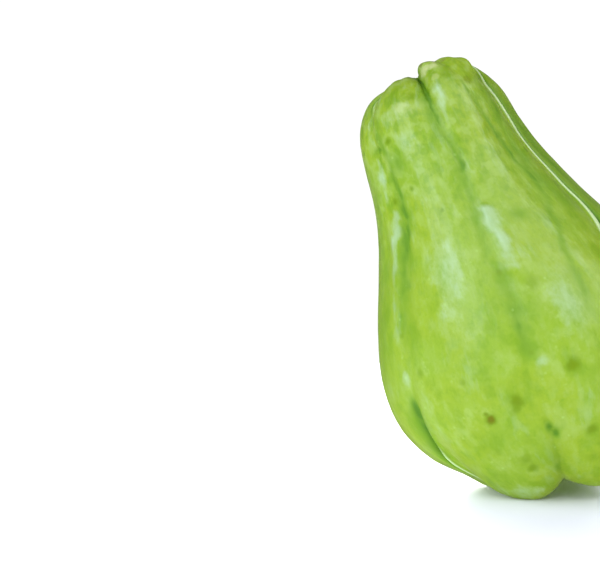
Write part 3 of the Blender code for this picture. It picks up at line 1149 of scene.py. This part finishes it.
# %% Scabs
# Dry rubs on the shoulder and its rim: where each one is, its radius in millimetres, its strength
# and its colour.
Scab = namedtuple("Scab", "around along radius strength colour")
SCABS = (
    Scab(12.0, 0.886, 1.9, 0.45, SCAB_CREAM),
    Scab(17.0, 0.882, 2.1, 0.55, SCAB_CREAM),
    Scab(21.0, 0.871, 1.8, 0.4, SCAB_CREAM),
    Scab(14.0, 0.906, 1.1, 0.7, SCAB_BROWN),
    Scab(21.0, 0.906, 1.1, 0.7, SCAB_BROWN),
    Scab(28.0, 0.900, 1.1, 0.7, SCAB_BROWN),
    Scab(38.0, 0.889, 1.1, 0.5, SCAB_BROWN),
    Scab(51.0, 0.890, 1.2, 0.6, SCAB_BROWN),
    Scab(56.0, 0.876, 1.0, 0.5, SCAB_BROWN),
    Scab(16.0, 0.845, 1.2, 0.3, SCAB_CREAM),
    Scab(-22.0, 0.815, 2.4, 0.25, SCAB_CREAM),
    Scab(150.0, 0.890, 2.8, 0.6, SCAB_CREAM),
    Scab(-150.0, 0.870, 2.0, 0.5, SCAB_CREAM),
)
SCAB_RAGGED = 3.0  # how much its edge strays, in radii
SCAB_CORE = 0.3    # where it starts to fade, in radii
SCAB_EDGE = 1.3    # where it has faded, in radii
for scab in SCABS:
    radius = scab.radius * METRES_PER_MM
    distance = ragged_distance(scab, SCAB_RAGGED)
    dry = below(SCAB_CORE * radius, SCAB_EDGE * radius, distance)
    colour = blend(colour, scab.colour, dry * scab.strength)
print("Scabs:", len(SCABS))

# %% Cork at the two ends
scar_mask = attribute("scar")
blossom_mask = attribute("blossom")
cork_noise = noise(object_place, wavelength=0.0012, detail=3.0)
cork = blend(CORK, CORK_DARK, ramp(0.45, 0.7, cork_noise))
colour = blend(colour, cork, scar_mask)
colour = blend(colour, CORK_DARK, blossom_mask)
print("With cork at both ends:", len(skin_material.node_tree.nodes), "nodes")

# %% [markdown]
# ## Gloss
#
# Wax makes the skin shine softly: a roughness of about a third gives broad highlights that still
# have an edge. It is rougher in the hollows, where the wax is not rubbed, and on the cork. Relief
# too fine for the mesh goes into a Bump node, and a little light is let into the flesh, which
# softens the shadow's edge as it does on any fruit.

# %% Gloss and fine relief
WAX_ROUGHNESS = 0.33
HOLLOW_ROUGHER = 0.25
SCAR_ROUGHER = 0.35
BLOSSOM_ROUGHER = 0.3
roughness = WAX_ROUGHNESS + (mottle - 0.5) * 0.16 + (grain - 0.5) * 0.10
roughness = roughness + scar_mask * SCAR_ROUGHER + blossom_mask * BLOSSOM_ROUGHER
hollow_mask = maths("MAXIMUM", furrow_shade_mask, dent_shade_mask)
roughness = roughness + ramp(0.1, 0.8, hollow_mask) * HOLLOW_ROUGHER
# Heights of the grain, the mottling and the streaks in millimetres.
fine_height = (grain - 0.5) * 0.10 + (mottle - 0.5) * 0.40 + (streak - 0.5) * 0.22
bump = skin.add(
    "ShaderNodeBump",
    None,
    {"Strength": 0.5, "Distance": METRES_PER_MM, "Height": fine_height},
)
shader = skin.add(
    "ShaderNodeBsdfPrincipled",
    None,
    {
        "Base Color": colour,
        "Roughness": roughness,
        "IOR": 1.45,
        "Normal": bump,
        "Subsurface Weight": 0.12,
        "Subsurface Radius": (0.6, 1.0, 0.25),
        "Subsurface Scale": 0.003,
    },
)
skin.add("ShaderNodeOutputMaterial", None, {"Surface": shader})
print("The skin's material has", len(skin_material.node_tree.nodes), "nodes")

# %% [markdown]
# ## The stage
#
# The fruit stands on a pale, nearly matt table before white surroundings. One set of lights could
# serve both, but lights that suit the fruit throw too dark a shade on the table. So light linking
# gives each its own: large soft lights for the fruit, and distant ones for the table, which make
# it almost white and lay a faint shade under the lobes.

# %% Table
TABLE_RADIUS = 0.3
TABLE_SEGMENTS = 128
TABLE_FINISH = {
    "Base Color": (0.80, 0.82, 0.97, 1.0),
    "Roughness": 0.5,
    "Specular IOR Level": 0.1,
}
table_form = bmesh.new()
bmesh.ops.create_circle(table_form, cap_ends=True, segments=TABLE_SEGMENTS, radius=TABLE_RADIUS)
table_mesh = bpy.data.meshes.new("studio_table")
table_form.to_mesh(table_mesh)
table_form.free()
floor = new_object("studio_table", table_mesh)
floor_material = bpy.data.materials.new("white_table")
floor_material.use_nodes = True
floor_shader = floor_material.node_tree.nodes["Principled BSDF"]
for name, value in TABLE_FINISH.items():
    floor_shader.inputs[name].default_value = value
floor.data.materials.append(floor_material)
print("The table is", 2.0 * TABLE_RADIUS, "m across")

# %% White surroundings
# What the camera sees behind the table is white. What lights the fruit is dimmer, and what
# mirrors in it is dimmer still, as it would be between dark screens: that keeps its colour deep.
SEEN_WHITE = 1.05
AMBIENT = 0.43
MIRRORED = 0.15
world = bpy.data.worlds.new("white_studio")
world.use_nodes = True
world.node_tree.nodes.clear()
sky = Tree(world.node_tree)
seen = sky.add("ShaderNodeLightPath", output="Is Camera Ray")
mirrored = seen.other("Is Glossy Ray")
strength = AMBIENT + seen * (SEEN_WHITE - AMBIENT) + mirrored * (MIRRORED - AMBIENT)
background = sky.add("ShaderNodeBackground", None, {"Color": (1, 1, 1, 1), "Strength": strength})
sky.add("ShaderNodeOutputWorld", None, {"Surface": background})
bpy.context.scene.world = world
print("The surroundings are", SEEN_WHITE, "bright to the eye and", AMBIENT, "to the fruit")

# %% Soft lights for the fruit
# A cool one at the front left makes the broad highlights on the lobes. One above the front and one
# at the right keep the rest bright. The greenish one at the left and the one below stand for light
# that comes back from the table and from the fruit's own skin.
FRUIT_MIDDLE = Vector((0.0, 0.0, 0.062))
NEUTRAL = (1.0, 1.0, 1.0)
COOL = (0.84, 0.97, 1.20)
MILD = (0.90, 0.98, 0.98)
GREENISH = (0.88, 1.05, 0.85)
# Angles are in degrees, the distance and the two sides in metres.
SoftLight = namedtuple("SoftLight", "azimuth elevation distance width height radiance tint")
SOFT_LIGHTS = {
    "key_light": SoftLight(-42.0, 21.0, 1.2, 0.75, 0.80, 3.45, COOL),
    "front_light": SoftLight(8.0, 40.0, 1.4, 1.2, 0.6, 2.2, NEUTRAL),
    "fill_light": SoftLight(58.0, 32.0, 1.4, 0.5, 0.7, 4.6, MILD),
    "side_light": SoftLight(-105.0, 10.0, 1.2, 0.8, 0.8, 1.4, GREENISH),
    "low_light": SoftLight(0.0, -55.0, 1.0, 0.8, 0.8, 1.5, NEUTRAL),
}


def direction(azimuth, elevation):
    """The way from the fruit towards an azimuth, 0 at the front and growing to the right."""
    turn = radians(azimuth)
    climb = radians(elevation)
    return Vector((sin(turn) * cos(climb), -cos(turn) * cos(climb), sin(climb)))


def looking_back(towards):
    """The rotation of a lamp or a camera that stands in a direction and faces the fruit."""
    return towards.to_track_quat("Z", "Y").to_euler()


def soft_light(name, given):
    """A rectangular light that faces the fruit. Its power follows from how bright it looks."""
    light = bpy.data.lights.new(name, "AREA")
    light.shape = "RECTANGLE"
    light.size = given.width
    light.size_y = given.height
    light.energy = given.radiance * pi * given.width * given.height
    light.color = given.tint
    lamp = new_object(name, light)
    towards = direction(given.azimuth, given.elevation)
    lamp.location = FRUIT_MIDDLE + towards * given.distance
    lamp.rotation_euler = looking_back(towards)
    return lamp


soft_lamps = {name: soft_light(name, given) for name, given in SOFT_LIGHTS.items()}
print("Lights for the fruit:", ", ".join(soft_lamps))

# %% Distant lights for the table
# Two low ones behind the fruit are the strongest, so its shade falls forwards, under the lobes.
# Weaker ones at both sides and above the front thin that shade out.
TABLE_LIGHT_ANGLE = 42.0  # as wide as a bright wall, so that the shade has no edge
TableLight = namedtuple("TableLight", "azimuth elevation energy")
TABLE_LIGHTS = {
    "table_light_behind_right": TableLight(160.0, 14.0, 5.4),
    "table_light_behind_left": TableLight(-160.0, 14.0, 6.9),
    "table_light_left": TableLight(-95.0, 22.0, 2.6),
    "table_light_right": TableLight(95.0, 22.0, 1.1),
    "table_light_front": TableLight(0.0, 45.0, 1.2),
}


def table_light(name, given):
    """A distant light, which shines from one direction on the whole table."""
    light = bpy.data.lights.new(name, "SUN")
    light.energy = given.energy
    light.angle = radians(TABLE_LIGHT_ANGLE)
    lamp = new_object(name, light)
    lamp.rotation_euler = looking_back(direction(given.azimuth, given.elevation))
    return lamp


table_lamps = {name: table_light(name, given) for name, given in TABLE_LIGHTS.items()}
print("Lights for the table:", ", ".join(table_lamps))

# %% Share the light out
def only(thing, name):
    """A collection of one object, which light linking asks for."""
    collection = bpy.data.collections.new(name)
    collection.objects.link(thing)
    return collection


for lamps, receivers in (
    (table_lamps, only(floor, "table_only")),
    (soft_lamps, only(fruit, "fruit_only")),
):
    for lamp in lamps.values():
        lamp.light_linking.receiver_collection = receivers

# The low light shines up through the table: only the fruit itself casts a shadow in it. Neither it
# nor the side light is mirrored in the skin, and the table isn't either.
soft_lamps["low_light"].light_linking.blocker_collection = only(fruit, "fruit_shadow")
for unmirrored in (soft_lamps["side_light"], soft_lamps["low_light"], floor):
    unmirrored.visible_glossy = False
print("Lights that are shared out:", len(soft_lamps) + len(table_lamps))

# %% [markdown]
# ## The camera
#
# The camera stands nearly level with the fruit and a little above it. A long lens from far away
# keeps the fruit's true proportions, where a short one from close by would swell its belly. Its
# aim lies to the left of the fruit, which leaves room beside it.

# %% Camera
SENSOR_WIDTH = 36.0     # millimetres
VIEW_DISTANCE = 0.9     # metres
VIEW_WIDTH = 0.1845     # metres that the view shows from side to side, at the fruit
VIEW_ELEVATION = 6.0
AIM = Vector((-0.0690, 0.0, 0.0614))
camera_data = bpy.data.cameras.new("camera")
camera_data.sensor_width = SENSOR_WIDTH
camera_data.lens = SENSOR_WIDTH * VIEW_DISTANCE / VIEW_WIDTH
camera = new_object("camera", camera_data)
towards_camera = direction(0.0, VIEW_ELEVATION)
camera.location = AIM + towards_camera * VIEW_DISTANCE
camera.rotation_euler = looking_back(towards_camera)
bpy.context.scene.camera = camera
bpy.context.scene.view_settings.view_transform = "Standard"
print("The lens is", round(camera_data.lens, 1), "mm long")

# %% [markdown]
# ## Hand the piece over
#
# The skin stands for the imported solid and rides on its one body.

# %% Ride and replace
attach(fruit, "root")
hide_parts("chayote_fruit")
